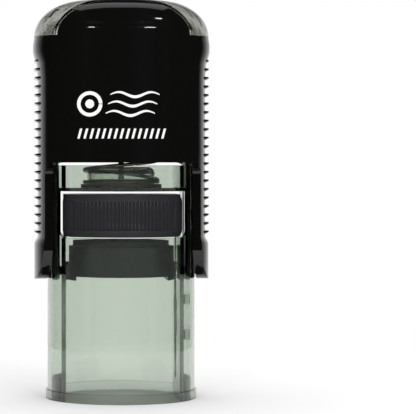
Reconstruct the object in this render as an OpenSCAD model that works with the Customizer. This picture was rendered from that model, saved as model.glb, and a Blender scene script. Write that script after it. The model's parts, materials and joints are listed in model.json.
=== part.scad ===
// Round self-inking hand stamp. Millimetres, +Z up.
// The origin is the middle of the base, on the paper. The front faces -Y.
// The stamp is drawn at rest: housing up, printing die turned up under its ink pad.

/* [Printing die] */
// Diameter of the rubber die, which is the size of the print
die_d = 17; // [14:0.5:21]
// Rim of the die carriage outside the die
carriage_rim = 0.8; // [0.4:0.1:1.5]
// Thickness of the die carriage
carriage_t = 2.5; // [2:0.1:3.2]
// Thickness of the plate clipped on the carriage
plate_t = 1.4; // [1:0.1:2]
// Thickness of the foam tape under the rubber
foam_t = 0.8; // [0.5:0.1:1.2]
// Thickness of the rubber sheet without its relief
rubber_t = 0.8; // [0.6:0.1:1.2]
// Height of the printing relief
relief_t = 0.7; // [0.4:0.1:1]
// Radius of the pivot pins at the ends of the carriage
pin_r = 0.8; // [0.6:0.05:1]

/* [Movement] */
// How far the housing goes down when it is pressed
travel = 17.1; // [14:0.1:21]

/* [Base] */
// Wall of the round base
base_wall = 0.6; // [0.5:0.05:1.2]
// Width of the foot flange outside the wall
flange_w = 0.3; // [0.1:0.05:0.4]
// Height of the foot flange
flange_h = 1.6; // [1:0.1:2.5]
// Thickness of the flat walls beside the die
chamber_wall = 0.7; // [0.5:0.1:1]
// Thickness of the deck that the spring stands on
deck_t = 0.6; // [0.5:0.1:1.2]
// Height of the collar above the deck
collar_h = 3.9; // [3:0.1:5]

/* [Cartridge] */
// Height of the ink cartridge
cartridge_h = 7.3; // [6:0.1:9]
// Thickness of the ink felt
felt_t = 4; // [3:0.1:5]
// Number of grip ribs on the front of the cartridge
front_ribs = 28; // [16:1:36]

/* [Housing] */
// Wall of the housing
housing_wall = 1.25; // [1:0.05:1.8]
// Wall of the two side arms below the grip ribs
arm_wall = 1.5; // [1.2:0.1:2]
// Height of the index window dome
dome_h = 6.3; // [5.5:0.1:8]
// Wall of the index window
window_wall = 1.2; // [0.8:0.1:1.5]
// Number of grip ribs on each side
grip_ribs = 21; // [12:1:24]

/* [Spring] */
// Wire diameter of the return spring
wire_d = 0.65; // [0.4:0.05:0.8]
// Number of turns of the return spring
spring_turns = 6; // [4:1:7]
// Mean radius of the return spring
spring_r = 6.5; // [6:0.1:7.5]

/* [Hidden] */
$fn = 96;
eps = 0.02;

// clearances
chamber_gap = 0.35;
slide_gap = 0.15;
leg_gap = 0.75;
skin_gap = 0.25;
pin_gap = 0.05;
flat_gap = 0.1;
pad_clear = 0.28;
// how deep the pad's face lies inside the rim of its tray
pad_depth = 0.15;
// gap between the printing die and the cup around it
cup_gap = 0.1;
// how far the rim of the cup stands below the ground of the raised print
cup_below = 0.2;

// widths, from the die outwards
die_r = die_d / 2;
carriage_r = die_r + carriage_rim;
chamber_x = carriage_r + chamber_gap;
chamber_out = chamber_x + chamber_wall;
leg_in = chamber_out + leg_gap;
leg_t = 1.15;
leg_out = leg_in + leg_t;
leg_half = 3.5;
base_in = leg_out + slide_gap;
base_r = base_in + base_wall;
arm_in = base_r + skin_gap;
side_x = arm_in + arm_wall;
front_y = arm_in + housing_wall;

// heights, from the paper up
stack_t = plate_t + foam_t + rubber_t + relief_t;
axis_below_top = 1.6;
die_reach = axis_below_top + stack_t;
cup_reach = die_reach - relief_t - cup_below;
axis_z = travel + die_reach;
carriage_top = axis_z + axis_below_top;
carriage_bottom = carriage_top - carriage_t;
cup_top = axis_z + cup_reach;
// how much higher the edge of the die or of its cup rises as the die starts to turn
flip_rise = max([for (t = [0:2:90])
    max(die_reach * cos(t) + die_r * sin(t), cup_reach * cos(t) + carriage_r * sin(t))
        - die_reach - travel * t / 180]);
pad_gap = flip_rise + pad_clear;
pad_z = axis_z + die_reach + pad_gap;
tray_z = pad_z - pad_depth;
tray_top = tray_z + cartridge_h;
bay_bottom = tray_z - 0.15;
bay_top = tray_top + 0.6;
deck_top = bay_top + deck_t;
base_h = deck_top + collar_h;
yoke_z = base_h + travel + 0.7;
yoke_t = 3;
roof_z = yoke_z + yoke_t;
roof_t = 1.6;
seam_z = roof_z + roof_t;
stamp_h = seam_z + dome_h;

// base
slot_half = 2.1;
dog_r = 2.0;
dog_side = 2 * axis_below_top;
bay_x = chamber_out + 0.4;
bay_corner = 1.2;
leg_z = axis_z - 1.5;
bumper_h = leg_z - travel - flat_gap;
track_pad = 0.4;
track_mid = axis_z - travel / 2 + 0.6;
track_half_h = 4.2;
track_y = 4.6;
room_y = 3.2;

// cartridge
tray_x = bay_x - 0.55;
head_x = bay_x - 0.35;
// the drawer's front lies this far inside the round base, so the housing slides past it
head_recess = 0.85;
head_r = base_r - head_recess;
head_y = 8.6;
head_back = sqrt(head_r * head_r - head_x * head_x) - 0.8;
tray_r = base_in - 0.3;
felt_r = carriage_r - 0.1;
well_r = carriage_r;
cloth_t = 0.3;
rib_lip = 1.1;
rib_h = 0.22;

// housing
rim_z = base_h + 0.5;
arm_z = leg_z + 0.2;
opening_x = arm_in + 0.25;
opening_corner = 2;
fin_x = arm_in - 1.25;
fin_y = 7.5;
bulge_top = side_x + 0.85;
bulge_low = side_x + 0.6;
bulge_top_z = seam_z - 3.8;
bulge_low_z = arm_z + 7;
rib_out = side_x + 0.67;
rib_half = 5.5;
squareness = 2.8;
arm_y = 8.4;
arm_corner = 5;

// dome over the index card
dome_corner_x = 7.6;
dome_corner_y = 6;
dome_front_z = 1.4;
bow_x = 11.5 / 14.75 * side_x;
bow_depth = 5.6;
bow_wall = 1.9;
// how far the dome's solid runs down into the housing, which roots the bows there
dome_root = 0.5;
table_x = 7;
table_y = 7.6;
card_t = 0.25;
card_gap = 0.25;
table_top = stamp_h - window_wall - card_gap - card_t;

// spring
seat_t = 0.6;
seat_r = spring_r + wire_d;
guide_r = spring_r - wire_d / 2 - slide_gap - 0.05;
guide_h = collar_h - seat_t - 0.3;
guide_round = 1.2;
guide_wall = 0.6;
post_r = 0.5;
post_z = yoke_z - travel + 0.8;
spring_z = deck_top + seat_t;
// the spring's upper end sits in a ring-shaped pocket in the yoke
spring_pocket = 1.4;
spring_top = yoke_z + spring_pocket;
wire_sides = 8;
steps_per_turn = 24;

// Rounded outline of the housing seen from above: a superellipse
function outline(hx, hy, count = 96) =
    [for (i = [0:count - 1])
        let (a = 360 * i / count, c = cos(a), s = sin(a))
        [hx * sign(c) * pow(abs(c), 2 / squareness), hy * sign(s) * pow(abs(s), 2 / squareness)]];

module block(x0, x1, y0, y1, z0, z1) {
    translate([x0, y0, z0])
        cube([x1 - x0, y1 - y0, z1 - z0]);
}

module disc(r, z0, z1) {
    translate([0, 0, z0])
        cylinder(r = r, h = z1 - z0);
}

// A slab with the housing's outline
module slab(hx, hy, z0, z1) {
    translate([0, 0, z0])
        linear_extrude(height = z1 - z0)
            polygon(outline(hx, hy));
}

// A flat shape drawn in X and Z, carried along Y
module along_y(y0, y1) {
    translate([0, y1, 0])
        rotate([90, 0, 0])
            linear_extrude(height = y1 - y0)
                children();
}

// A flat shape drawn in Y and Z, carried along X
module along_x(x0, x1) {
    translate([x0, 0, 0])
        rotate([90, 0, 90])
            linear_extrude(height = x1 - x0)
                children();
}

module rod_x(r, x0, x1, z) {
    translate([x0, 0, z])
        rotate([0, 90, 0])
            cylinder(r = r, h = x1 - x0);
}

// Both sides of the stamp, left and right
module both_sides() {
    children();
    mirror([1, 0, 0])
        children();
}

// ---------- base ----------

// Opening that the cartridge slides through, with rounded lower corners
module bay_shape() {
    translate([-bay_x, bay_bottom + bay_corner])
        square([2 * bay_x, bay_top - bay_bottom - bay_corner]);
    translate([-bay_x + bay_corner, bay_bottom])
        square([2 * (bay_x - bay_corner), bay_corner + 1]);
    for (s = [-1, 1])
        translate([s * (bay_x - bay_corner), bay_bottom + bay_corner])
            circle(r = bay_corner);
}

// Slot that lets a pivot pin run down the chamber wall
module pin_slot() {
    along_x(chamber_x - 1, chamber_out + 1) {
        translate([0, axis_z - travel])
            circle(r = slot_half);
        translate([-slot_half, axis_z - travel])
            square([2 * slot_half, deck_top]);
    }
}

// Wide place in the cam track where the die turns over
module turning_room() {
    along_x(chamber_x - 1, chamber_out + 1)
        polygon([[-slot_half, track_mid - 3.6], [-room_y, track_mid - 2.2], [-room_y, track_mid + 2],
                 [-slot_half, track_mid + 3.6], [slot_half, track_mid + 3.6], [room_y, track_mid + 2],
                 [room_y, track_mid - 2.2], [slot_half, track_mid - 3.6]]);
}

module chamber_side() {
    intersection() {
        block(chamber_x, chamber_out, -base_in, base_in, 0, bay_bottom);
        disc(base_in + base_wall / 2, 0, bay_bottom);
    }
    intersection() {
        block(chamber_x, chamber_out, -base_in, base_in, deck_top - eps, base_h);
        disc(base_in + base_wall / 2, 0, base_h);
    }
}

module base_frame() {
    color([0.74, 0.80, 0.74, 0.45]) {
        difference() {
            union() {
                disc(base_r, 0, base_h);
                disc(base_r + flange_w, 0, flange_h);
            }
            disc(base_in, -1, base_h + 1);
            along_y(-base_r - 1, base_r + 1)
                bay_shape();
        }
        intersection() {
            disc(base_in + base_wall / 2, bay_top, deck_top);
            block(-bay_x, bay_x, -base_r, base_r, bay_top, deck_top);
        }
        difference() {
            union() {
                both_sides()
                    chamber_side();
                for (s = [-1, 1])
                    block(chamber_out - eps, chamber_out + track_pad, s * (slot_half + track_y) / 2 - 1.25,
                          s * (slot_half + track_y) / 2 + 1.25, track_mid - track_half_h, track_mid + track_half_h);
            }
            both_sides()
                pin_slot_lower();
            turning_room();
        }
    }
}

module pin_slot_lower() {
    intersection() {
        pin_slot();
        block(0, base_r, -base_r, base_r, 0, bay_bottom + eps);
    }
}

module bumper() {
    color([0.16, 0.20, 0.18])
        intersection() {
            disc(base_in - 0.1, 0, bumper_h);
            block(chamber_out + 0.1, base_r, -base_r, base_r, 0, bumper_h);
        }
}

module bumper_left() {
    mirror([1, 0, 0])
        bumper();
}

module bumper_right() {
    bumper();
}

// ---------- return spring ----------

module spring_seat() {
    color([0.08, 0.09, 0.09]) {
        disc(seat_r, deck_top, deck_top + seat_t);
        disc(post_r, deck_top, post_z);
    }
}

module spring_guide() {
    color([0.74, 0.80, 0.74, 0.45])
        difference() {
            translate([0, 0, spring_z])
                rotate_extrude()
                    union() {
                        square([guide_r, guide_h - guide_round]);
                        square([guide_r - guide_round, guide_h]);
                        translate([guide_r - guide_round, guide_h - guide_round])
                            circle(r = guide_round);
                    }
            disc(guide_r - guide_wall, spring_z - 1, spring_z + guide_h - guide_wall - guide_round / 2);
            disc(post_r + 0.1, 0, stamp_h);
        }
}

// One ring of the wire, at a turn count t and a height z
function wire_ring(t, z) =
    [for (k = [0:wire_sides - 1])
        let (a = 360 * t, b = 360 * k / wire_sides, r = spring_r + wire_d / 2 * cos(b))
        [r * cos(a), r * sin(a), z + wire_d / 2 * sin(b)]];

module return_spring() {
    rise = spring_top - spring_z - wire_d - 0.2;
    count = steps_per_turn * (spring_turns + 2);
    // the first and last turns lie flat, the others climb
    heights = [for (i = [0:count])
        let (t = i / steps_per_turn)
        spring_z + 0.05 + wire_d / 2 + rise * min(1, max(0, (t - 0.9) / (spring_turns + 0.2)))
            + 0.01 * t];
    points = [for (i = [0:count]) each wire_ring(i / steps_per_turn, heights[i])];
    last = count * wire_sides;
    sides = [for (i = [0:count - 1], k = [0:wire_sides - 1])
        let (a = i * wire_sides + k, b = i * wire_sides + (k + 1) % wire_sides)
        [a, a + wire_sides, b + wire_sides, b]];
    first_end = [for (k = [0:wire_sides - 1]) k];
    last_end = [for (k = [wire_sides - 1:-1:0]) last + k];
    color([0.55, 0.52, 0.45])
        polyhedron(points = points, faces = concat(sides, [first_end], [last_end]));
}

// ---------- housing ----------

// Profile of the dome from the front: flat top and elliptical corners
module dome_front_shape(inset) {
    hx = bulge_top - inset;
    top = dome_h - inset;
    corner = dome_corner_x - inset / 2;
    polygon(concat([[-hx, -1], [hx, -1]],
        [for (a = [0:7.5:90]) [hx - corner + corner * cos(a), top * sin(a)]],
        [for (a = [90:7.5:180]) [-hx + corner + corner * cos(a), top * sin(a)]]));
}

// Profile of the dome from the side: it leans back above the front crease
module dome_side_shape(inset) {
    hy = front_y - inset;
    top = dome_h - inset;
    corner = dome_corner_y - inset / 2;
    z0 = dome_front_z;
    polygon(concat([[-hy, -1], [hy, -1]],
        [for (a = [0:7.5:90]) [hy - corner + corner * cos(a), z0 + (top - z0) * sin(a)]],
        [for (a = [90:7.5:180]) [-hy + corner + corner * cos(a), z0 + (top - z0) * sin(a)]]));
}

module dome(inset) {
    translate([0, 0, seam_z])
        intersection() {
            slab(bulge_top - inset, front_y - inset, -dome_root, dome_h);
            along_y(-front_y, front_y)
                dome_front_shape(inset);
            along_x(-bulge_top, bulge_top)
                dome_side_shape(inset);
        }
}

// Half ellipse that parts the black bow from the clear window
module bow_region(gap) {
    for (s = [-1, 1])
        along_y(s > 0 ? front_y - bow_depth - gap : -front_y - 1, s > 0 ? front_y + 1 : -front_y + bow_depth + gap)
            intersection() {
                translate([0, seam_z])
                    scale([(bow_x + gap) / (dome_h + gap), 1])
                        circle(r = dome_h + gap);
                translate([-bow_x - 1, seam_z - dome_root])
                    square([2 * bow_x + 2, dome_h + 3]);
            }
}

// Saw-tooth grip ribs: flat on top, slanting in below
module grip_shape() {
    pitch = (bulge_top_z - bulge_low_z) / grip_ribs;
    polygon(concat([[side_x - 1, bulge_low_z], [side_x - 1, bulge_top_z]],
        [for (i = [0:grip_ribs - 1])
            let (top = bulge_top_z - i * pitch)
            each [[side_x, top - 0.15], [rib_out, top - 0.15], [rib_out, top - 0.4], [side_x, top - pitch + 0.1]]]));
}

// Front and back openings of the housing, with rounded top corners
module opening_shape() {
    translate([-opening_x, -1])
        square([2 * opening_x, rim_z + 1 - opening_corner]);
    translate([-opening_x + opening_corner, 0])
        square([2 * (opening_x - opening_corner), rim_z]);
    for (s = [-1, 1])
        translate([s * (opening_x - opening_corner), rim_z - opening_corner])
            circle(r = opening_corner);
}

// The arms end in a rounded foot, seen from the side
module arm_shape() {
    translate([-arm_y, arm_z + arm_corner])
        square([2 * arm_y, rim_z - arm_z - arm_corner + 1]);
    translate([-arm_y + arm_corner, arm_z])
        square([2 * (arm_y - arm_corner), arm_corner + 1]);
    for (s = [-1, 1])
        translate([s * (arm_y - arm_corner), arm_z + arm_corner])
            circle(r = arm_corner);
}

module housing_skin() {
    slab(side_x, front_y, arm_z, seam_z);
    slab(bulge_top, front_y, bulge_top_z, seam_z);
    slab(bulge_low, front_y, arm_z, bulge_low_z);
    intersection() {
        slab(rib_out + 0.3, front_y, arm_z, seam_z);
        both_sides()
            along_y(-rib_half, rib_half)
                grip_shape();
    }
}

module housing() {
    color([0.05, 0.05, 0.05]) {
        difference() {
            housing_skin();
            slab(arm_in, arm_in, arm_z - 1, roof_z);
            along_y(-front_y - 1, front_y + 1)
                opening_shape();
            difference() {
                block(-bulge_top - 1, bulge_top + 1, -front_y - 1, front_y + 1, arm_z - 1, rim_z);
                along_x(-bulge_top - 2, bulge_top + 2)
                    arm_shape();
            }
        }
        // inner fins of the arms, which follow the round base
        difference() {
            intersection() {
                both_sides()
                    block(fin_x, arm_in + 0.5, -fin_y, fin_y, arm_z, rim_z + 1);
                along_x(-bulge_top, bulge_top)
                    arm_shape();
            }
            disc(arm_in, arm_z - 1, rim_z + 2);
        }
        // table for the index card
        block(-table_x, table_x, -table_y, table_y, seam_z - 1, table_top);
        // front and back bows
        difference() {
            intersection() {
                dome(0);
                bow_region(0);
            }
            dome(bow_wall);
        }
    }
}

module press_yoke() {
    color([0.07, 0.07, 0.07])
        difference() {
            union() {
                intersection() {
                    disc(leg_out, yoke_z, roof_z);
                    block(-leg_out, leg_out, -5.5, 5.5, yoke_z, roof_z);
                }
                disc(seat_r + 1, yoke_z, roof_z);
                intersection() {
                    disc(leg_out, leg_z, yoke_z + 1);
                    union()
                        both_sides()
                            block(leg_in, leg_out, -leg_half, leg_half, leg_z, yoke_z + 1);
                }
            }
            rod_x(pin_r + pin_gap, -leg_out - 1, leg_out + 1, axis_z);
            disc(post_r + 0.3, yoke_z - 1, roof_z + 1);
            difference() {
                disc(seat_r, yoke_z - 1, spring_top);
                disc(spring_r - wire_d, yoke_z - 1, spring_top);
            }
        }
}

module index_window() {
    color([0.85, 0.87, 0.86, 0.3])
        difference() {
            dome(0);
            dome(window_wall);
            bow_region(0.15);
            block(-bulge_top, bulge_top, -front_y, front_y, seam_z - 2, seam_z + flat_gap);
        }
}

module index_card() {
    color([0.95, 0.95, 0.93])
        block(-table_x + 0.3, table_x - 0.3, -table_y + 0.3, table_y - 0.3, table_top, table_top + card_t);
}

// ---------- die ----------

module die_carriage() {
    color([0.10, 0.11, 0.11]) {
        disc(carriage_r, carriage_bottom, carriage_top);
        difference() {
            disc(carriage_r, carriage_top - eps, cup_top);
            disc(die_r + cup_gap, carriage_top, cup_top + 1);
        }
        intersection() {
            disc(carriage_r, carriage_bottom - 0.7, carriage_bottom + 0.5);
            both_sides()
                block(carriage_r - 1.4, carriage_r, -5, 5, carriage_bottom - 0.7, carriage_bottom + 0.5);
        }
        both_sides() {
            intersection() {
                rod_x(dog_r, carriage_r - 1.2, chamber_out - 0.05, axis_z);
                block(0, base_r, -dog_side / 2, dog_side / 2, axis_z - dog_side / 2, axis_z + dog_side / 2);
            }
            rod_x(pin_r, carriage_r - 1, leg_out - 0.15, axis_z);
        }
    }
}

module die_plate() {
    color([0.13, 0.14, 0.14])
        disc(die_r, carriage_top, carriage_top + plate_t);
}

module foam_tape() {
    color([0.20, 0.20, 0.19])
        disc(die_r - 0.1, carriage_top + plate_t, carriage_top + plate_t + foam_t);
}

// A plain ring and a rosette of dots stand up from the rubber
module rubber_die() {
    rubber_z = carriage_top + plate_t + foam_t;
    relief_z = rubber_z + rubber_t;
    color([0.18, 0.18, 0.17]) {
        disc(die_r, rubber_z, relief_z);
        difference() {
            disc(die_r, relief_z - eps, relief_z + relief_t);
            disc(die_r - 0.8, relief_z, relief_z + relief_t + 1);
        }
        disc(1.6, relief_z - eps, relief_z + relief_t);
        for (i = [0:7])
            rotate([0, 0, 45 * i])
                translate([die_r * 0.5, 0, 0])
                    disc(1.1, relief_z - eps, relief_z + relief_t);
    }
}

// ---------- ink cartridge ----------

// Ribbed front seen from above: the ribs follow the round base
module ribbed_front_shape() {
    half_angle = asin((head_x - 1.3) / head_r);
    steps = front_ribs * 4;
    polygon(concat([[head_x - 1.3, -head_back], [-head_x + 1.3, -head_back]],
        [for (i = [0:steps])
            let (a = -90 - half_angle + 2 * half_angle * i / steps,
                 r = head_r - 0.1 - rib_h * ((i % 4) > 1 ? 1 : 0))
            [r * cos(a), r * sin(a)]]));
}

module cartridge_tray() {
    color([0.07, 0.07, 0.08])
        difference() {
            union() {
                intersection() {
                    disc(tray_r, tray_z, tray_top);
                    block(-tray_x, tray_x, -head_y, well_r + 0.9, tray_z, tray_top);
                }
                difference() {
                    intersection() {
                        disc(head_r, tray_z, tray_top);
                        along_y(-base_r, -head_back)
                            head_shape();
                    }
                    translate([0, 0, tray_z + rib_lip])
                        linear_extrude(height = cartridge_h - 2 * rib_lip)
                            difference() {
                                translate([-head_x + 1.3, -base_r - 1])
                                    square([2 * head_x - 2.6, 5]);
                                circle(r = head_r - 0.1 - rib_h - 0.2);
                            }
                }
                translate([0, 0, tray_z + rib_lip - eps])
                    linear_extrude(height = cartridge_h - 2 * rib_lip + 2 * eps)
                        ribbed_front_shape();
            }
            disc(well_r, tray_z - 1, pad_z + cloth_t + felt_t + 0.1);
        }
}

// Front of the cartridge, with rounded corners
module head_shape() {
    for (sx = [-1, 1], sz = [0, 1])
        translate([sx * (head_x - bay_corner), sz > 0 ? tray_top - bay_corner : tray_z + bay_corner])
            circle(r = bay_corner);
    translate([-head_x, tray_z + bay_corner])
        square([2 * head_x, cartridge_h - 2 * bay_corner]);
    translate([-head_x + bay_corner, tray_z])
        square([2 * (head_x - bay_corner), cartridge_h]);
}

module ink_felt() {
    color([0.62, 0.08, 0.08])
        disc(felt_r, pad_z + cloth_t, pad_z + cloth_t + felt_t);
}

module pad_cloth() {
    color([0.50, 0.05, 0.06])
        disc(felt_r, pad_z, pad_z + cloth_t);
}

base_frame();
bumper_left();
bumper_right();
spring_seat();
spring_guide();
return_spring();
housing();
press_yoke();
index_window();
index_card();
die_carriage();
die_plate();
foam_tape();
rubber_die();
cartridge_tray();
ink_felt();
pad_cloth();
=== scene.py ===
import bpy
import bmesh
import json
import numpy as np
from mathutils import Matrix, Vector


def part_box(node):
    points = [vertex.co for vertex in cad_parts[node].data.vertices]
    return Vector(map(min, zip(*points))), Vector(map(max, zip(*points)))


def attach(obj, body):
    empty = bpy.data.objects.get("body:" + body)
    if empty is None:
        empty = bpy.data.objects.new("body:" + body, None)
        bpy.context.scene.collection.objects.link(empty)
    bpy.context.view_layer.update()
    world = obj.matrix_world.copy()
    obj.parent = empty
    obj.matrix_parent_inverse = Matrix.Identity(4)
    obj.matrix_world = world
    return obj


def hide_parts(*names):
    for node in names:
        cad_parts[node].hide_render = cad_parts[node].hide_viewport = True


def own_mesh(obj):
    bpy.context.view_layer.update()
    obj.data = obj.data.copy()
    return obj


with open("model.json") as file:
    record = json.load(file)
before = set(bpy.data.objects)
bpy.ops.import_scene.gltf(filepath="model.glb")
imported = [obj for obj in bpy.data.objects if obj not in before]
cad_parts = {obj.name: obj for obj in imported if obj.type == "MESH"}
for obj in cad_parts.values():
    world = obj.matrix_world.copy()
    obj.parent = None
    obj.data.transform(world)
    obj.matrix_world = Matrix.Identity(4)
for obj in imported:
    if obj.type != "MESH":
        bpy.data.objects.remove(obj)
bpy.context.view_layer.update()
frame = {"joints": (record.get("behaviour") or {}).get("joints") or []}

MM = 0.001
CAMERA_DISTANCE = 377 * MM
CAMERA_HEIGHT = 41 * MM
CAMERA_SIDE = np.radians(-2.3)

camera_data = bpy.data.cameras.new("camera")
camera_data.lens = 184.5
camera_data.sensor_width = 36
camera_data.shift_x = 0.209
camera_data.shift_y = -0.101
camera_data.clip_start = 0.01
camera = bpy.data.objects.new("camera", camera_data)
bpy.context.scene.collection.objects.link(camera)
camera.location = (CAMERA_DISTANCE * np.sin(CAMERA_SIDE), -CAMERA_DISTANCE * np.cos(CAMERA_SIDE), CAMERA_HEIGHT)
camera.rotation_euler = (np.radians(90), 0, CAMERA_SIDE)
bpy.context.scene.camera = camera
bpy.context.scene.view_settings.view_transform = "Standard"


def linear(hex_colour):
    """An sRGB hex colour as linear light: each channel through the sRGB curve, with an alpha of one."""
    channels = np.array([int(hex_colour[i:i + 2], 16) / 255 for i in (1, 3, 5)])
    low = channels / 12.92
    high = ((channels + 0.055) / 1.055) ** 2.4
    return (*np.where(channels <= 0.04045, low, high), 1.0)


def add_node(tree, kind, links=None, **settings):
    """Adds one node. Settings named like a socket go on the socket, others on the node; links feed sockets."""
    node = tree.nodes.new(kind)
    for name, value in settings.items():
        title = name.replace("_", " ")
        if title in node.inputs:
            node.inputs[title].default_value = value
        else:
            setattr(node, name, value)
    for socket, source in (links or {}).items():
        tree.links.new(source, node.inputs[socket])
    return node


def add_area_light(name, place, aim, size, power, colour="#ffffff"):
    """A soft box: a rectangle of light at a place, turned to face a point."""
    data = bpy.data.lights.new(name, "AREA")
    data.shape = "RECTANGLE"
    data.size, data.size_y = size
    data.energy = power
    data.color = linear(colour)[:3]
    light = bpy.data.objects.new(name, data)
    bpy.context.scene.collection.objects.link(light)
    light.location = place
    light.rotation_euler = (Vector(aim) - Vector(place)).to_track_quat("-Z", "Y").to_euler()
    return light


# The tent: white cloth behind the stamp, and a dim room behind the camera with a few tall grey
# strips in it, which is what the black housing mirrors. The background itself is plain white.
ROOM_STRIPS = [(0.0, "#0c0c0b"), (0.22, "#151410"), (0.28, "#2b281c"), (0.34, "#121210"), (0.47, "#0b0b0b"),
               (0.53, "#18181a"), (0.57, "#33313a"), (0.64, "#2b2930"), (0.69, "#0e0e0f"), (0.79, "#26262a"),
               (0.86, "#101010"), (1.0, "#1c1b17")]
world = bpy.data.worlds.new("light_tent")
bpy.context.scene.world = world
world.use_nodes = True
tree = world.node_tree
tree.nodes.clear()
direction = add_node(tree, "ShaderNodeTexCoord")
parts = add_node(tree, "ShaderNodeSeparateXYZ", {"Vector": direction.outputs["Generated"]})
facing = add_node(tree, "ShaderNodeMapRange", {"Value": parts.outputs["Y"]}, interpolation_type="SMOOTHSTEP",
                  From_Min=0.5, From_Max=0.97, To_Min=0.0, To_Max=1.0)
steep = add_node(tree, "ShaderNodeMapRange", {"Value": parts.outputs["Z"]}, interpolation_type="SMOOTHSTEP",
                 From_Min=0.04, From_Max=0.45, To_Min=1.0, To_Max=0.0)
behind = add_node(tree, "ShaderNodeMath", {0: facing.outputs["Result"], 1: steep.outputs["Result"]},
                  operation="MULTIPLY")
sideways = add_node(tree, "ShaderNodeMapRange", {"Value": parts.outputs["X"]}, From_Min=-1.0, From_Max=1.0)
strips = add_node(tree, "ShaderNodeValToRGB", {"Fac": sideways.outputs["Result"]})
for place, colour in ROOM_STRIPS[1:-1]:
    strips.color_ramp.elements.new(place)
for stop, (place, colour) in zip(strips.color_ramp.elements, ROOM_STRIPS):
    stop.position = place
    stop.color = linear(colour)
tent = add_node(tree, "ShaderNodeMix", {"Factor": behind.outputs["Value"], "A": strips.outputs["Color"]},
                data_type="RGBA", B=linear("#ffffff"))
seen = add_node(tree, "ShaderNodeLightPath")
straight = add_node(tree, "ShaderNodeMath",
                    {0: seen.outputs["Is Camera Ray"], 1: seen.outputs["Is Transmission Ray"]},
                    operation="MAXIMUM")
plain = add_node(tree, "ShaderNodeMath", {0: straight.outputs["Value"], 1: seen.outputs["Is Diffuse Ray"]},
                 operation="MAXIMUM")
shown = add_node(tree, "ShaderNodeMix", {"Factor": plain.outputs["Value"], "A": tent.outputs["Result"]},
                 data_type="RGBA", B=linear("#ffffff"))
cloth = add_node(tree, "ShaderNodeBackground", {"Color": shown.outputs["Result"]}, Strength=1.0)
add_node(tree, "ShaderNodeOutputWorld", {"Surface": cloth.outputs["Background"]})

# Small lamps in front, which give the short glints along the crease; a soft one overhead for the shadow.
add_area_light("lamp_left", (-0.30, -0.85, 0.36), (0, 0, 0.06), (0.12, 0.07), 0.9)
add_area_light("lamp_right", (0.27, -0.85, 0.34), (0, 0, 0.06), (0.16, 0.06), 1.2)
add_area_light("lamp_high", (0.36, -0.55, 0.62), (0, 0, 0.06), (0.10, 0.06), 0.5)
add_area_light("light_top", (0.0, 0.25, 0.75), (0, 0, 0.0), (0.6, 0.4), 0.7)

# White paper that the stamp stands on: a small round sheet, so that the black fronts mirror the dim room.
FLOOR_R = 110 * MM
rim = np.linspace(0, 2 * np.pi, 64, endpoint=False)
floor_mesh = bpy.data.meshes.new("floor")
floor_mesh.from_pydata(np.stack([FLOOR_R * np.cos(rim), FLOOR_R * np.sin(rim), 0 * rim], axis=-1).tolist(), [],
                       [list(range(64))])
floor = bpy.data.objects.new("floor", floor_mesh)
bpy.context.scene.collection.objects.link(floor)
paper = bpy.data.materials.new("white_paper_floor")
paper.use_nodes = True
paper.node_tree.nodes["Principled BSDF"].inputs["Base Color"].default_value = linear("#f2f2f2")
paper.node_tree.nodes["Principled BSDF"].inputs["Roughness"].default_value = 0.9
paper.node_tree.nodes["Principled BSDF"].inputs["Specular IOR Level"].default_value = 0.0
floor_mesh.materials.append(paper)

# ---------------------------------------------------------------------------
# Base frame: one clear smoke-green SAN moulding. A thin round tube with a foot
# flange and a bay for the ink cartridge at the front and the back, flat walls
# beside the die with slots for its pins, a deck for the spring and a collar.
# ---------------------------------------------------------------------------
def node_box(name):
    """Lowest and highest corner of a CAD node, in millimetres."""
    return [np.array(corner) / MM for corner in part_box(name)]


def shell(outer, inner, keep, closed_loop=True):
    """A wall between two grids of points with the same rows (upwards) and columns (anticlockwise).
    Cells where keep is false stay open, and each open edge is closed from one grid to the other."""
    rows, columns = outer.shape[:2]
    index = np.arange(rows * columns).reshape(rows, columns)
    beside = np.roll(index, -1, axis=1)
    cells = np.stack([index[:-1], beside[:-1], beside[1:], index[1:]], axis=-1)
    keep = keep.copy()
    if not closed_loop:
        keep[:, -1] = False
    padded = np.pad(keep, ((1, 1), (0, 0)))
    open_edges = [(keep & ~padded[:-2], 0, 1), (keep & ~np.roll(keep, -1, axis=1), 1, 2),
                  (keep & ~padded[2:], 2, 3), (keep & ~np.roll(keep, 1, axis=1), 3, 0)]
    total = rows * columns
    faces = [cells[keep], cells[keep][:, ::-1] + total]
    for edge, a, b in open_edges:
        start, end = cells[edge][:, a], cells[edge][:, b]
        faces.append(np.stack([end, start, start + total, end + total], axis=-1))
    faces = np.concatenate(faces)
    points = np.concatenate([outer.reshape(-1, 3), inner.reshape(-1, 3)])
    used, faces = np.unique(faces, return_inverse=True)
    return points[used], faces.reshape(-1, 4)


def plate(outline, low, high, axis=2):
    """A flat plate: an outline of (u, v) points carried along an axis from low to high.
    Along x the outline is (y, z), along y it is (x, z), along z it is (x, y)."""
    outline = np.asarray(outline, float)
    count = len(outline)
    ends = [np.insert(outline, axis, level, axis=1) for level in (low, high)]
    index = np.arange(count)
    sides = np.stack([index, np.roll(index, -1), np.roll(index, -1) + count, index + count], axis=-1)
    faces = [list(side) for side in sides] + [list(index[::-1]), list(index + count)]
    return np.concatenate(ends), faces


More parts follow.
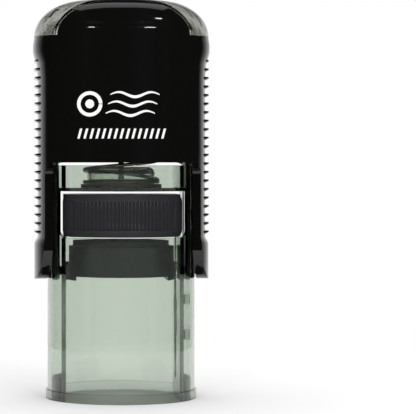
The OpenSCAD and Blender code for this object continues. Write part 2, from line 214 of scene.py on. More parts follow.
def turned(profile, steps=96):
    """A turned solid: a closed (radius, z) profile carried once round the Z axis. A radius may be one
    number or a row with one value for each step of the turn."""
    angle = np.linspace(0, 2 * np.pi, steps, endpoint=False)
    radius = np.array([np.broadcast_to(r, steps) for r, _ in profile], float)
    height = np.array([z for _, z in profile], float)[:, None]
    grid = np.stack([radius * np.cos(angle), radius * np.sin(angle), height + 0 * angle], axis=-1)
    index = np.arange(grid.shape[0] * steps).reshape(-1, steps)
    above, beside = np.roll(index, -1, axis=0), np.roll(index, -1, axis=1)
    faces = np.stack([index, beside, np.roll(above, -1, axis=1), above], axis=-1).reshape(-1, 4)
    return grid.reshape(-1, 3), faces


def add_piece(name, solids, material, body, replaces=(), bevel=0.0, sharp=40, segments=2):
    """One object from a list of closed solids (points in mm, faces). Doubles are merged, faces turned
    outwards, curved faces shaded smooth, and edges sharper than the limit given a small round."""
    mesh_data = bpy.data.meshes.new(name)
    work = bmesh.new()
    for points, faces in solids:
        part = bpy.data.meshes.new("part")
        part.from_pydata((np.asarray(points) * MM).tolist(), [], np.asarray(faces).tolist()
                         if isinstance(faces, np.ndarray) else [list(map(int, f)) for f in faces])
        solid = bmesh.new()
        solid.from_mesh(part)
        bmesh.ops.remove_doubles(solid, verts=solid.verts, dist=1e-7)
        bmesh.ops.dissolve_degenerate(solid, edges=solid.edges, dist=1e-8)
        bmesh.ops.recalc_face_normals(solid, faces=solid.faces)
        solid.to_mesh(part)
        solid.free()
        work.from_mesh(part)
        bpy.data.meshes.remove(part)
    work.to_mesh(mesh_data)
    work.free()
    piece = bpy.data.objects.new(name, mesh_data)
    bpy.context.scene.collection.objects.link(piece)
    mesh_data.shade_smooth()
    mesh_data.set_sharp_from_angle(angle=np.radians(sharp))
    if bevel > 0:
        round_edge = piece.modifiers.new("edge_round", "BEVEL")
        round_edge.width = bevel * MM
        round_edge.segments = segments
        round_edge.limit_method = "ANGLE"
        round_edge.angle_limit = np.radians(sharp)
        round_edge.use_clamp_overlap = True
        round_edge.harden_normals = True
    mesh_data.materials.append(material)
    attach(piece, body)
    if replaces:
        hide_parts(*replaces)
    return piece


def new_material(name):
    """An empty node material; returns it with its tree, its shader and the object coordinates in mm."""
    material = bpy.data.materials.new(name)
    material.use_nodes = True
    tree = material.node_tree
    shader = tree.nodes["Principled BSDF"]
    place = add_node(tree, "ShaderNodeTexCoord")
    in_mm = add_node(tree, "ShaderNodeMapping", {"Vector": place.outputs["Object"]}, Scale=(1000, 1000, 1000))
    return material, tree, shader, in_mm.outputs["Vector"]


def smooth_step(low, high, value):
    """Rises from 0 at low to 1 at high with level ends."""
    t = np.clip((value - low) / (high - low), 0, 1)
    return t * t * (3 - 2 * t)


# Clear SAN: polished, a faint smoke-green tint that deepens where the wall is seen edge-on,
# because the colour is in the plastic and not on it. Slight flow ripple from the mould.
SAN_GREEN = "#f4f8f3"
SAN_DEPTH = "#6f8f6c"
clear_green, tree, shader, in_mm = new_material("smoke_green_clear_san")
flow = add_node(tree, "ShaderNodeTexNoise", {"Vector": in_mm}, Scale=0.35, Detail=2.0)
ripple = add_node(tree, "ShaderNodeBump", {"Height": flow.outputs["Fac"]}, Strength=0.04, Distance=0.0004)
tree.links.new(ripple.outputs["Normal"], shader.inputs["Normal"])
haze = add_node(tree, "ShaderNodeMapRange", {"Value": flow.outputs["Fac"]}, To_Min=0.01, To_Max=0.05)
tree.links.new(haze.outputs["Result"], shader.inputs["Roughness"])
shader.inputs["Base Color"].default_value = linear(SAN_GREEN)
shader.inputs["Transmission Weight"].default_value = 1.0
shader.inputs["IOR"].default_value = 1.5
depth = add_node(tree, "ShaderNodeVolumeAbsorption", Color=linear(SAN_DEPTH), Density=420.0)
tree.links.new(depth.outputs["Volume"], tree.nodes["Material Output"].inputs["Volume"])

FLANGE_W = 0.3
FLANGE_H = 1.6
BASE_WALL = 0.6
BAY_X = 10.75
BAY_CORNER = 1.2
base_low, base_high = node_box("base_frame")
tray_low, tray_high = node_box("cartridge_tray")
seat_low, seat_high = node_box("spring_seat")
base_r = base_high[0] - FLANGE_W
base_in = base_r - BASE_WALL
base_h = base_high[2]
bay_bottom = tray_low[2] - 0.15
bay_top = tray_high[2] + 0.6
deck_top = seat_low[2]

edge_out = np.degrees(np.arccos(BAY_X / base_r))
edge_in = np.degrees(np.arccos(BAY_X / base_in))
corner_x = BAY_X - BAY_CORNER * (1 - np.cos(np.radians(np.arange(0, 91, 15))))
quarter = np.unique(np.round(np.concatenate([
    np.linspace(0, edge_out, 10), np.degrees(np.arccos(corner_x / base_r)), np.linspace(48, 90, 15)]), 5))
folded = np.concatenate([quarter, quarter[::-1][1:], quarter[1:], quarter[::-1][1:-1]])
angle_out = np.concatenate([quarter, 180 - quarter[::-1][1:], 180 + quarter[1:], 360 - quarter[::-1][1:-1]])
turn_back = np.interp(folded, [0, edge_out, 90], [0, edge_in, 90]) - folded
quadrant = (angle_out // 90).astype(int) % 4
angle_in = angle_out + turn_back * np.where(quadrant % 2 == 0, 1, -1)

rows_z = np.array([0, FLANGE_H, FLANGE_H + 0.02, 10, 20, bay_bottom, bay_top, base_h])
rows_r = np.array([base_r + FLANGE_W, base_r + FLANGE_W] + [base_r] * 6)
heights = np.repeat(rows_z[:, None], len(angle_out), axis=1)
across = np.abs(base_r * np.cos(np.radians(angle_out)))
into_corner = np.clip(across - (BAY_X - BAY_CORNER), 0, BAY_CORNER)
heights[5] += BAY_CORNER - np.sqrt(BAY_CORNER ** 2 - into_corner ** 2)
outer = np.stack([rows_r[:, None] * np.cos(np.radians(angle_out)),
                  rows_r[:, None] * np.sin(np.radians(angle_out)), heights], axis=-1)
inner = np.stack([base_in * np.cos(np.radians(angle_in)) + 0 * rows_r[:, None],
                  base_in * np.sin(np.radians(angle_in)) + 0 * rows_r[:, None], heights], axis=-1)
keep = np.ones((len(rows_z) - 1, len(angle_out)), bool)
keep[5] = (across > BAY_X - 0.001) & (np.roll(across, -1) > BAY_X - 0.001)
tube = shell(outer, inner, keep)

# flat walls beside the die; the slot down each one widens to a turning room in its middle
CHAMBER_WALL = 0.7
SLOT_HALF = 2.1
ROOM_HALF = 3.2
TRAVEL = frame["joints"][0]["range_m"][1] / MM
axis_z = frame["joints"][1]["pos_m"][2] / MM
chamber_x = node_box("die_carriage")[1][1] + 0.35
chamber_out = chamber_x + CHAMBER_WALL
slot_low = axis_z - TRAVEL
room_z = axis_z - TRAVEL / 2 + 0.6


def chamber_wall(side, low, high, slotted):
    """A flat wall at one side: rows of (y, z) points whose ends meet the round tube. Where it has a slot,
    the slot ends in a half circle below, and its edges step out in the turning room."""
    in_slot = SLOT_HALF * np.sin(np.radians(np.arange(-90, 91, 15)))
    y = np.concatenate([[-1.0, -0.6], in_slot / SLOT_HALF * 0.3, [0.6, 1.0]])
    half = np.array([np.sqrt(base_in ** 2 - x ** 2) - 0.02 for x in (chamber_out, chamber_x)])
    z = np.array([low, slot_low, room_z - 3.6, room_z - 2.2, room_z + 2.0, room_z + 3.6, high])
    edge = np.array([SLOT_HALF, SLOT_HALF, SLOT_HALF, ROOM_HALF, ROOM_HALF, SLOT_HALF, SLOT_HALF])
    if not slotted:
        z, edge = np.array([low, high]), np.array([SLOT_HALF, SLOT_HALF])
    grids = []
    for x, reach in zip((chamber_out, chamber_x), half):
        line = np.concatenate([[-reach, -(reach + 3.2) / 2], in_slot, [(reach + 3.2) / 2, reach]])
        grid_y = np.repeat(line[None], len(z), axis=0)
        grid_y[:, 2:-2] *= edge[:, None] / SLOT_HALF
        grid_z = np.repeat(z[:, None], len(y), axis=1)
        if slotted:
            slot_across = np.clip(line, -SLOT_HALF, SLOT_HALF)
            grid_z[1] = slot_low - np.sqrt(np.maximum(SLOT_HALF ** 2 - slot_across ** 2, 0))
            grid_z[1, :2] = grid_z[1, -2:] = slot_low
        grids.append(np.stack([np.full(grid_y.shape, side * x), side * grid_y, grid_z], axis=-1))
    keep = np.ones((len(z) - 1, len(y)), bool)
    if slotted:
        keep[1:, 2:-3] = False
    return shell(grids[0], grids[1], keep, closed_loop=False)


def round_outline(radius, cut_x, count=24):
    """A circle cut straight at x = cut_x and x = -cut_x, as (x, y) points."""
    reach = np.degrees(np.arccos(cut_x / radius))
    back = np.radians(np.linspace(reach, 180 - reach, count))
    front = back + np.pi
    angle = np.concatenate([back, front])
    return np.stack([radius * np.cos(angle), radius * np.sin(angle)], axis=-1)


walls = [chamber_wall(side, low, high, slotted) for side in (1, -1)
         for low, high, slotted in ((0.02, bay_bottom, True), (deck_top + 0.02, base_h, False))]
deck = plate(round_outline(base_in - 0.01, BAY_X), bay_top, deck_top)
track = [plate([(s * 2.4, room_z + a), (s * 4.6, room_z + a + 0.5), (s * 4.6, room_z + b - 0.5),
                (s * 2.4, room_z + b)],
               chamber_out + 0.01, chamber_out + 0.4, axis=0)
         for s in (-1, 1) for a, b in ((-4.2, -1.9), (1.9, 4.2))]
lugs = [plate([(s * 3.8, room_z + a), (s * 4.9, room_z + a), (s * 4.9, room_z + b), (s * 3.8, room_z + b)],
              chamber_out + 0.4, chamber_out + 1.1, axis=0)
        for s in (-1, 1) for a, b in ((-4.0, -2.2), (2.2, 4.0))]
add_piece("base_shell", [tube, deck, *walls, *track, *lugs], clear_green, "base",
          ["base_frame"], bevel=0.12, sharp=42)

# ---------------------------------------------------------------------------
# Housing: one piano-black ABS moulding that the hand presses down. A squared
# round tube with a slightly raised front panel, two arms with saw-tooth grips,
# a roof that carries the index card, and a curved bow at the front and back.
# ---------------------------------------------------------------------------
SQUARE = 2.8
ROOT_X = 14.75
SKIN_Y = 14.35
PANEL_X = 10.0
PANEL_RISE = 0.14
OPENING_X = 13.5
OPENING_CORNER = 2.0
ARM_CORNER = 5.0
CREASE_Z = 1.4
DOME_CORNER_X = 7.4
DOME_CORNER_Y = 6.0
BOW_X = 11.5
BOW_WALL = 1.9
BOW_GAP = 0.12
RIB_COUNT = 21
RIB_HALF = 5.5
RIB_RISE = 0.67
housing_low, housing_high = node_box("housing")
window_low, window_high = node_box("index_window")
arm_z = housing_low[2]
seam_z = window_low[2] - 0.1
dome_h = window_high[2] - seam_z
rim_z = base_h + 0.5
cavity = base_r + 0.25


def around(share, sign):
    """Given one superellipse coordinate, the other one, with a chosen sign."""
    return sign * np.maximum(1 - np.abs(share) ** SQUARE, 0) ** (1 / SQUARE)


def side_bulge(z):
    """How far the side stands out of the grip's root: a band at the foot of the arms and one at the top."""
    foot = 0.6 * (1 - smooth_step(27.2, 28.6, z))
    head = 0.85 * smooth_step(57.4, 61.2, z) - 0.2 * smooth_step(61.8, seam_z, z)
    return foot + head


def body_skin(c, s, z):
    """Housing below the seam: a superellipse, with the bulge growing only near the sides (c to the twelfth)
    and the front panel standing out in the middle."""
    x = ROOT_X * c + np.sign(c) * np.abs(c) ** 12 * side_bulge(z)
    panel = PANEL_RISE * (1 - smooth_step(PANEL_X - 0.15, PANEL_X + 0.15, np.abs(x)))
    return np.stack([x, SKIN_Y * s + np.sign(s) * panel, z + 0 * x], axis=-1)


def dome_size(v, inset=0.0):
    """Half width, bulge, half depth and height of the dome at share v of its height: quarter ellipses that
    lean in to the flat top. The sides lean at once, the front only above its crease."""
    lean_x = 1 - np.sqrt(np.maximum(1 - v ** 2, 0))
    above = np.clip((v * dome_h - CREASE_Z) / (dome_h - CREASE_Z), 0, 1)
    lean_y = 1 - np.sqrt(np.maximum(1 - above ** 2, 0))
    return (ROOT_X - inset - DOME_CORNER_X * lean_x, 0.65 * (1 - lean_x), SKIN_Y - inset - DOME_CORNER_Y * lean_y,
            seam_z + v * (dome_h - inset))


def dome_skin(c, s, v, inset=0.0):
    """Dome surface: the same outline as the body, shrunk to the dome's size at share v."""
    half_x, bulge, half_y, z = dome_size(v, inset)
    x = half_x * c + np.sign(c) * np.abs(c) ** 12 * bulge
    panel = PANEL_RISE * (1 - smooth_step(PANEL_X - 0.15, PANEL_X + 0.15, np.abs(x)))
    panel = panel * (1 - smooth_step(CREASE_Z - 0.25, CREASE_Z + 0.25, v * dome_h))
    return np.stack([x, half_y * s + np.sign(s) * panel, z + 0 * x], axis=-1)


side_y = np.linspace(-1, 1, 29) * SKIN_Y * around(OPENING_X / ROOT_X, 1)
right_s = side_y / SKIN_Y
right_c = around(right_s, 1)
corner_steps = OPENING_X - OPENING_CORNER * (1 - np.cos(np.radians(np.arange(15, 91, 15))))
front_half = np.concatenate([np.linspace(0, PANEL_X - 0.25, 14), PANEL_X + np.array([-0.15, -0.05, 0.05, 0.15]),
                             [10.6, 11.0, BOW_X - BOW_GAP], corner_steps[::-1]])
front_half = np.unique(np.round(front_half, 5))
front_c = np.concatenate([-front_half[::-1], front_half[1:]]) / ROOT_X
c0 = np.concatenate([right_c, front_c[::-1], -right_c, front_c])
s0 = np.concatenate([right_s, around(front_c, 1), -right_s, around(front_c, -1)])
facing_y = np.concatenate([0 * right_s, 0 * front_c + 1, 0 * right_s, 0 * front_c + 1]).astype(bool)
in_bow = facing_y & (np.abs(c0 * ROOT_X) < BOW_X - BOW_GAP + 0.001)

body_rows = np.array([arm_z, 24.0, 26.6, 27.2, 27.5, 27.8, 28.1, 28.4, 28.6, 29.5, 34.0,
                      rim_z - OPENING_CORNER, rim_z, 44.0, 48.0, 52.0, 56.0, 58.6, 59.0, 59.4, 59.8,
                      60.2, 60.5, 60.8, 61.4, 61.8, 62.3, 62.8, seam_z])
RIM_ROW = 12
row_z = np.repeat(body_rows[:, None], len(c0), axis=1)
into_corner = np.clip(np.abs(c0) * ROOT_X - (OPENING_X - OPENING_CORNER), 0, OPENING_CORNER)
row_z[RIM_ROW] -= OPENING_CORNER - np.sqrt(OPENING_CORNER ** 2 - into_corner ** 2)
row_z[RIM_ROW - 1] -= 1.0
arm_y = side_y.max()
into_foot = np.clip(np.abs(s0) * SKIN_Y - (arm_y - ARM_CORNER), 0, ARM_CORNER)
foot_lift = ARM_CORNER - np.sqrt(ARM_CORNER ** 2 - into_foot ** 2)
for row in range(1, 4):
    row_z[row] = np.maximum(row_z[row], arm_z + foot_lift + 0.35 * row)
row_z[4:9] = np.maximum(row_z[4:9], row_z[3] + np.arange(1, 6)[:, None] * 0.05)
row_z[0] += foot_lift
bow_v = np.sin(np.radians(np.concatenate([np.linspace(2, 18, 6), np.linspace(24, 84, 11), [87, 89, 89.7]])))
outer = [body_skin(c0, s0, z) for z in row_z]
inner = [np.stack([cavity * c0, cavity * s0, z], axis=-1) for z in row_z]
for v in bow_v:
    half_x = dome_size(v)[0]
    edge = np.maximum(BOW_X * np.sqrt(1 - v ** 2) - BOW_GAP, 0.02)
    c = np.clip(c0 * ROOT_X / (BOW_X - BOW_GAP), -1, 1) * edge / half_x
    s = around(c, np.sign(s0))
    skin_points = dome_skin(c, s, v)
    outer.append(skin_points)
    inner.append(skin_points - np.stack([0 * c, np.sign(s0) * BOW_WALL, 0 * c], axis=-1))
outer, inner = np.array(outer), np.array(inner)
keep = np.ones((len(outer) - 1, len(c0)), bool)
cell_in_opening = facing_y & np.roll(facing_y, -1)
cell_in_opening |= facing_y ^ np.roll(facing_y, -1)
keep[:RIM_ROW, cell_in_opening] = False
keep[len(body_rows) - 1:] = in_bow & np.roll(in_bow, -1)
casing = shell(outer, inner, keep)


def ring_outline(radius, count=72):
    """A superellipse of one radius both ways, as (x, y) points."""
    angle = np.linspace(0, 2 * np.pi, count, endpoint=False)
    c = np.sign(np.cos(angle)) * np.abs(np.cos(angle)) ** (2 / SQUARE)
    s = np.sign(np.sin(angle)) * np.abs(np.sin(angle)) ** (2 / SQUARE)
    return np.stack([radius * c, radius * s], axis=-1)


# roof with the card table on it
card_low, card_high = node_box("index_card")
yoke_low, yoke_high = node_box("press_yoke")
roof = plate(ring_outline(cavity + 0.3), yoke_high[2], seam_z - 0.1)
table = plate([(card_low[0] - 0.3, card_low[1] - 0.3), (card_high[0] + 0.3, card_low[1] - 0.3),
               (card_high[0] + 0.3, card_high[1] + 0.3), (card_low[0] - 0.3, card_high[1] + 0.3)],
              seam_z - 0.3, card_low[2])


def arm_fin(x_edge, low, high, sx, sy):
    """Inner fin of an arm: it fills the corner between the arm and the round base, outside the base's circle."""
    arc_y = np.linspace(np.sqrt(cavity ** 2 - x_edge ** 2), 1.4, 9)
    arc = np.stack([np.sqrt(cavity ** 2 - arc_y ** 2), arc_y], axis=-1)
    outline = np.concatenate([arc, [(OPENING_X + 0.4, 1.4), (OPENING_X + 0.4, 7.3), (x_edge, 7.3)]])
    return plate(outline * [sx, sy], low, high)


fins = [arm_fin(x_edge, low, high, sx, sy) for sx in (-1, 1) for sy in (-1, 1)
        for x_edge, low, high in ((12.15, 33.2, rim_z + 0.8), (12.75, arm_z + 0.9, 33.3))]


def grip_strip(side):
    """Saw-tooth grip: each tooth is flat on top and slants in below. Its height fades at the strip's ends."""
    high, low = seam_z - 3.9, arm_z + 7.0
    pitch = (high - low) / RIB_COUNT
    tops = high - pitch * np.arange(RIB_COUNT)
    z = np.stack([tops, tops - 0.08, tops - 0.34, tops - 0.65], axis=-1).ravel()[::-1]
    rise = np.tile([0.0, 1.0, 1.0, 0.0], RIB_COUNT) * RIB_RISE
    y = np.linspace(-RIB_HALF, RIB_HALF, 23)
    fade = np.sqrt(np.clip((RIB_HALF - np.abs(y)) / 0.7, 0, 1))
    s = y / SKIN_Y
    root = ROOT_X * around(s, 1) - 0.04
    front = np.stack([side * (root + 0.02 + rise[:, None] * fade), np.repeat(y[None], len(z), 0) * side,
                      np.repeat(z[:, None], len(y), 1)], axis=-1)
    back = front.copy()
    back[..., 0] = side * (root - 0.4)
    return shell(front, back, np.ones((len(z) - 1, len(y)), bool), closed_loop=False)


# Piano-black ABS: polished mould, so it mirrors the room. A very slight waviness and fine dust marks.
gloss_black, tree, shader, in_mm = new_material("polished_black_abs")
wave = add_node(tree, "ShaderNodeTexNoise", {"Vector": in_mm}, Scale=0.22, Detail=2.0)
wavy = add_node(tree, "ShaderNodeBump", {"Height": wave.outputs["Fac"]}, Strength=0.08, Distance=0.0005)
tree.links.new(wavy.outputs["Normal"], shader.inputs["Normal"])
dust = add_node(tree, "ShaderNodeTexNoise", {"Vector": in_mm}, Scale=2.5, Detail=4.0)
dull = add_node(tree, "ShaderNodeMapRange", {"Value": dust.outputs["Fac"]}, From_Min=0.35, From_Max=0.75,
                To_Min=0.05, To_Max=0.14)
tree.links.new(dull.outputs["Result"], shader.inputs["Roughness"])
shader.inputs["Base Color"].default_value = linear("#0b0b0a")
shader.inputs["IOR"].default_value = 1.52
add_piece("housing_shell", [casing, roof, table, *fins, grip_strip(1), grip_strip(-1)], gloss_black, "cap",
          ["housing"], bevel=0.12, sharp=32)

# ---------------------------------------------------------------------------
# Index window: a clear styrene saddle that snaps over the card, between the
# two bows. Its lower edges rest on the seam of the housing.
# ---------------------------------------------------------------------------
WINDOW_WALL = 1.2
window_v = np.sin(np.radians(np.concatenate([[0], np.linspace(6, 84, 14), [87, 89, 90]])))
lobe = np.linspace(-1, 1, 41)


def window_rows(inset):
    """Rows of the window going up: the right and the left lobe end at the bow's ellipse, then the cap
    closes over the top."""
    rows = []
    for v in window_v:
        half_x = dome_size(v, inset)[0]
        edge = BOW_X * np.sqrt(max(1 - v ** 2, 0)) + BOW_GAP
        end_s = around(min(edge / half_x, 1.0), 1)
        s = np.sin(lobe * np.pi / 2) * end_s
        c = around(s, 1)
        c[[0, -1]] = edge / half_x
        rows.append(np.concatenate([dome_skin(c, s, v, inset), dome_skin(-c, -s, v, inset)]))
    for share in (0.93, 0.8, 0.6, 0.4, 0.2, 0.0):
        cap = rows[len(window_v) - 1].copy()
        cap[:, :2] *= share
        rows.append(cap)
    rows = np.array(rows)
    rows[0, :, 2] += 0.1
    return rows


outer = window_rows(0.0)
inner = window_rows(WINDOW_WALL)
keep = np.ones((len(outer) - 1, outer.shape[1]), bool)
keep[:len(window_v) - 1, [40, 81]] = False
clear_styrene, tree, shader, in_mm = new_material("clear_styrene")
flow = add_node(tree, "ShaderNodeTexNoise", {"Vector": in_mm}, Scale=0.6, Detail=3.0)
ripple = add_node(tree, "ShaderNodeBump", {"Height": flow.outputs["Fac"]}, Strength=0.12, Distance=0.0006)
tree.links.new(ripple.outputs["Normal"], shader.inputs["Normal"])
haze = add_node(tree, "ShaderNodeMapRange", {"Value": flow.outputs["Fac"]}, To_Min=0.01, To_Max=0.06)
tree.links.new(haze.outputs["Result"], shader.inputs["Roughness"])
shader.inputs["Base Color"].default_value = linear("#a9aaa2")
shader.inputs["Transmission Weight"].default_value = 1.0
shader.inputs["IOR"].default_value = 1.55
add_piece("window_saddle", [shell(outer, inner, keep)], clear_styrene, "window",
          ["index_window"],
          bevel=0.1, sharp=42)

# ---------------------------------------------------------------------------
# Mark on the front: white pad-printing ink on the glossy panel. A plain device of
# a ring with a dot, three flowing lines, and a row of slanted dashes below.
# ---------------------------------------------------------------------------
INK_RISE = 0.02
INK_ROOT = 0.06


def on_panel(grid_x, grid_z):
    """A film of ink over a grid of (x, z) points: its front lies just outside the panel, its back in it."""
    fronts = []
    for depth in (INK_RISE, -INK_ROOT):
        y = -(SKIN_Y * around(grid_x / ROOT_X, 1) + PANEL_RISE + depth)
        fronts.append(np.stack([grid_x, y, grid_z], axis=-1))
    return shell(fronts[0], fronts[1], np.ones(np.subtract(grid_x.shape, (1, 0)), bool), closed_loop=False)


def ink_ring(x, z, inner_radius, outer_radius):
    """A flat ring: radius by angle about (x, z)."""
    angle = np.linspace(0, 2 * np.pi, 49)
    radius = np.array([inner_radius, outer_radius])[:, None]
    return on_panel(x + radius * np.cos(angle), z + radius * np.sin(angle))


def ink_wave(x_from, x_to, z, rise, width):
    """A flowing line: a sine over the length, whose width swells in the middle and thins at the ends."""
    share = np.linspace(0, 1, 61)
    middle = z + rise * np.sin(share * 3 * np.pi)
    half = width / 2 * (0.35 + 0.65 * np.sin(share * np.pi))
    x = np.repeat((x_from + (x_to - x_from) * share)[None], 2, axis=0)
    return on_panel(x, np.stack([middle - half, middle + half]))


def ink_dash(x, z, height, width, slant):
    """A slanted dash: a parallelogram that leans by slant over its height."""
    grid_x = x + np.array([[0, width], [slant, slant + width]])
    return on_panel(grid_x, np.array([[z, z], [z + height, z + height]], float))


marks = [ink_ring(-5.9, 51.4, 1.55, 2.15), ink_ring(-5.9, 51.4, 0.02, 0.75)]
marks += [ink_wave(-2.9 + shift, 5.5 + shift, z, 0.4, 0.48)
          for z, shift in ((49.8, -0.3), (51.4, 0.1), (53.0, 0.5))]
marks += [ink_dash(x, 45.5, 1.7, 0.4, 0.45) for x in np.arange(-8.0, 7.2, 1.02)]
white_ink, tree, shader, in_mm = new_material("white_pad_print_ink")
speck = add_node(tree, "ShaderNodeTexNoise", {"Vector": in_mm}, Scale=6.0, Detail=3.0)
shade = add_node(tree, "ShaderNodeMix", {"Factor": speck.outputs["Fac"]}, data_type="RGBA", A=linear("#dededc"),
                 B=linear("#f6f6f4"))
tree.links.new(shade.outputs["Result"], shader.inputs["Base Color"])
shader.inputs["Roughness"].default_value = 0.45
add_piece("front_mark", marks, white_ink, "cap")

# ---------------------------------------------------------------------------
# Ink cartridge: a satin black ABS drawer. Its head fills the bay and has fine
# upright finger ribs; behind it a round well holds the felt and its cloth.
# ---------------------------------------------------------------------------
HEAD_CORNER = 1.2
RIB_LIP = 1.1
FINGER_RIBS = 28
FINGER_RIB_DEPTH = 0.24
FRONT_T = 0.8
WELL_R = 9.3
WELL_WALL = 0.65
cloth_low, cloth_high = node_box("pad_cloth")
felt_low, felt_high = node_box("ink_felt")
tray_z, tray_top = tray_low[2], tray_high[2]
head_r = -tray_low[1]
head_x = BAY_X - 0.35
rib_x = head_x - 1.35

# columns: four to a rib over the ribbed part, then the smooth ends
rib_edges = np.linspace(-rib_x, rib_x, FINGER_RIBS * 4 + 1)
end_columns = np.linspace(rib_x, head_x, 8)[1:]
column_x = np.concatenate([-end_columns[::-1], rib_edges, end_columns])
on_rib = np.concatenate([np.zeros(7), np.append(np.tile([0.0, 0.0, 1.0, 1.0], FINGER_RIBS), 0.0), np.zeros(7)])
lip_z = np.array([tray_z + RIB_LIP, tray_top - RIB_LIP])
rows_up = np.concatenate([tray_z + HEAD_CORNER * (1 - np.cos(np.radians([0, 30, 50, 65]))),
                          [lip_z[0], lip_z[0] + 0.12, tray_z + 2.5, tray_top - 2.5, lip_z[1] - 0.12, lip_z[1]],
                          tray_top - HEAD_CORNER * (1 - np.cos(np.radians([65, 50, 30, 0])))])
from_end = np.minimum(rows_up - tray_z, tray_top - rows_up)
into_corner = np.clip(HEAD_CORNER - from_end, 0, HEAD_CORNER)
half_width = head_x - HEAD_CORNER + np.sqrt(HEAD_CORNER ** 2 - into_corner ** 2)
knee = head_x - HEAD_CORNER
past_knee = np.clip((np.abs(column_x) - knee) / HEAD_CORNER, 0, 1)
grid_x = np.sign(column_x) * (np.minimum(np.abs(column_x), knee) + past_knee * (half_width[:, None] - knee))
sunk = np.isin(np.arange(len(rows_up)), (5, 6, 7, 8))[:, None]
groove = 0.08 + FINGER_RIB_DEPTH * on_rib + 0 * rows_up[:, None]
groove = np.where(sunk & (np.abs(column_x) <= rib_x), groove, 0)
front = np.stack([grid_x, -np.sqrt(head_r ** 2 - grid_x ** 2) + groove, rows_up[:, None] + 0 * grid_x], axis=-1)
back = front.copy()
back[..., 1] = -np.sqrt(np.maximum((WELL_R + WELL_WALL) ** 2 - grid_x ** 2, 30))
head = shell(front, back, np.ones((len(rows_up) - 1, len(column_x)), bool), closed_loop=False)

turn = np.linspace(0, 2 * np.pi, 96, endpoint=False)
tray_edge = np.minimum(base_in - 0.3, (BAY_X - 0.55) / np.maximum(np.abs(np.cos(turn)), 0.05))
tray_edge = np.minimum(tray_edge, (WELL_R + WELL_WALL) / np.maximum(np.abs(np.sin(turn)), 0.05))
tray_edge = np.where(np.sin(turn) < 0, np.minimum(tray_edge, head_r - FRONT_T), tray_edge)
well_top = felt_high[2] + 0.1
tray = turned([(WELL_R, tray_z), (tray_edge, tray_z), (tray_edge, tray_top), (0.02, tray_top), (0.02, well_top),
               (WELL_R, well_top)])

# Satin ABS: the mould is lightly spark-textured, so highlights are broad and slightly grainy.
satin_black, tree, shader, in_mm = new_material("spark_textured_black_abs")
grain = add_node(tree, "ShaderNodeTexNoise", {"Vector": in_mm}, Scale=7.0, Detail=3.0)
rough_skin = add_node(tree, "ShaderNodeBump", {"Height": grain.outputs["Fac"]}, Strength=0.35, Distance=0.00004)
tree.links.new(rough_skin.outputs["Normal"], shader.inputs["Normal"])
sheen = add_node(tree, "ShaderNodeMapRange", {"Value": grain.outputs["Fac"]}, To_Min=0.24, To_Max=0.42)
tree.links.new(sheen.outputs["Result"], shader.inputs["Roughness"])
shader.inputs["Base Color"].default_value = linear("#29292d")
add_piece("cartridge_drawer", [head, tray], satin_black, "cartridge", ["cartridge_tray"],
          bevel=0.05, sharp=40, segments=2)


def pad_disc(low, high, radius, crown):
    """A round pad: a soft rounded rim, and faces that bulge by a crown in the middle."""
    edge = min(0.35, (high - low) / 2.5)
    bend = np.radians(np.linspace(0, 90, 5))
    across = np.linspace(0.02, radius - edge, 9)
    swell = crown * (1 - (across / radius) ** 2)
    lower = [(r, low + crown - k) for r, k in zip(across, swell)]
    upper = [(r, high - crown + k) for r, k in zip(across, swell)]
    rim_low = [(radius - edge + edge * np.sin(a), low + crown + edge * (1 - np.cos(a))) for a in bend]
    rim_high = [(radius - edge + edge * np.cos(a), high - crown - edge * (1 - np.sin(a))) for a in bend]
    return turned(lower + rim_low[1:] + rim_high + upper[::-1][1:])


# Wool felt soaked in red ink, under a woven nylon cloth with a thread about every 0.25 mm.
red_felt, tree, shader, in_mm = new_material("ink_soaked_wool_felt")
fibre = add_node(tree, "ShaderNodeTexNoise", {"Vector": in_mm}, Scale=4.0, Detail=5.0, Roughness=0.7)
fibre_colour = add_node(tree, "ShaderNodeMix", {"Factor": fibre.outputs["Fac"]}, data_type="RGBA",
                        A=linear("#4a0a0c"), B=linear("#a01b1e"))
fuzz = add_node(tree, "ShaderNodeBump", {"Height": fibre.outputs["Fac"]}, Strength=0.7, Distance=0.0002)
tree.links.new(fibre_colour.outputs["Result"], shader.inputs["Base Color"])
tree.links.new(fuzz.outputs["Normal"], shader.inputs["Normal"])
shader.inputs["Roughness"].default_value = 0.85
add_piece("felt_block", [pad_disc(felt_low[2], felt_high[2], felt_high[0], 0.0)], red_felt, "cartridge",
          ["ink_felt"])
red_cloth, tree, shader, in_mm = new_material("inked_woven_nylon")
warp = add_node(tree, "ShaderNodeTexWave", {"Vector": in_mm}, Scale=0.64, bands_direction="X")
weft = add_node(tree, "ShaderNodeTexWave", {"Vector": in_mm}, Scale=0.64, bands_direction="Y")
weave = add_node(tree, "ShaderNodeMath", {0: warp.outputs["Fac"], 1: weft.outputs["Fac"]}, operation="MAXIMUM")
thread_colour = add_node(tree, "ShaderNodeMix", {"Factor": weave.outputs["Value"]}, data_type="RGBA",
                         A=linear("#3c080a"), B=linear("#8e1518"))
thread = add_node(tree, "ShaderNodeBump", {"Height": weave.outputs["Value"]}, Strength=0.6, Distance=0.0001)
tree.links.new(thread_colour.outputs["Result"], shader.inputs["Base Color"])
tree.links.new(thread.outputs["Normal"], shader.inputs["Normal"])
shader.inputs["Roughness"].default_value = 0.6
add_piece("pad_cover", [pad_disc(cloth_low[2], cloth_high[2], cloth_high[0], 0.0)], red_cloth, "cartridge",
          ["pad_cloth"])

